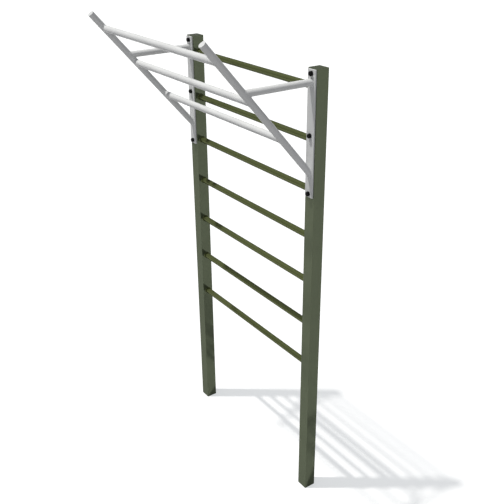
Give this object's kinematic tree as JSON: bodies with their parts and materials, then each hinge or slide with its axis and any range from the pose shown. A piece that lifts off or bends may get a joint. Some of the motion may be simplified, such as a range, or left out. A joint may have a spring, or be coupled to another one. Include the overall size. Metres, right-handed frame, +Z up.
{
  "type": "monkey bars",
  "caption": "Outdoor climbing ladder of square posts and round rungs, with an overhanging pull-up frame bolted to the tops of the posts.",
  "frame": {"origin": "on the ground, midway between the two posts' feet", "axes": "+Z up, X along the rungs with post_right at +X, -Y the front, over which the pull-up frame leans"},
  "size_m": [1.365, 0.7774, 3.1106],
  "materials": {
    "post_paint": "glossy olive-green powder coat with a fine metal flake",
    "rung_paint": "glossy olive-green powder coat with a fine metal flake, polished by hands",
    "frame_paint": "satin light grey-white powder coat",
    "black_plastic": "matt black nylon",
    "zinc_plated_steel": "bright zinc plate"
  },
  "bodies": {
    "root": {"post_left": "post_paint", "post_right": "post_paint", "post_lid_left": "post_paint", "post_lid_right": "post_paint", "rung_1": "rung_paint", "rung_2": "rung_paint", "rung_3": "rung_paint", "rung_4": "rung_paint", "rung_5": "rung_paint", "rung_6": "rung_paint", "rung_7": "rung_paint", "mounting_plate_left": "frame_paint", "mounting_plate_right": "frame_paint", "slanted_tube_left": "frame_paint", "slanted_tube_right": "frame_paint", "tube_end_cap_left": "frame_paint", "tube_end_cap_right": "frame_paint", "strut_left": "frame_paint", "strut_right": "frame_paint", "pull_up_bar_1": "frame_paint", "pull_up_bar_2": "frame_paint", "pull_up_bar_3": "frame_paint", "threaded_bushings": "zinc_plated_steel", "bolt_washers": "zinc_plated_steel", "frame_bolts": "zinc_plated_steel", "bolt_caps": "black_plastic"}
  },
  "joints": []
}
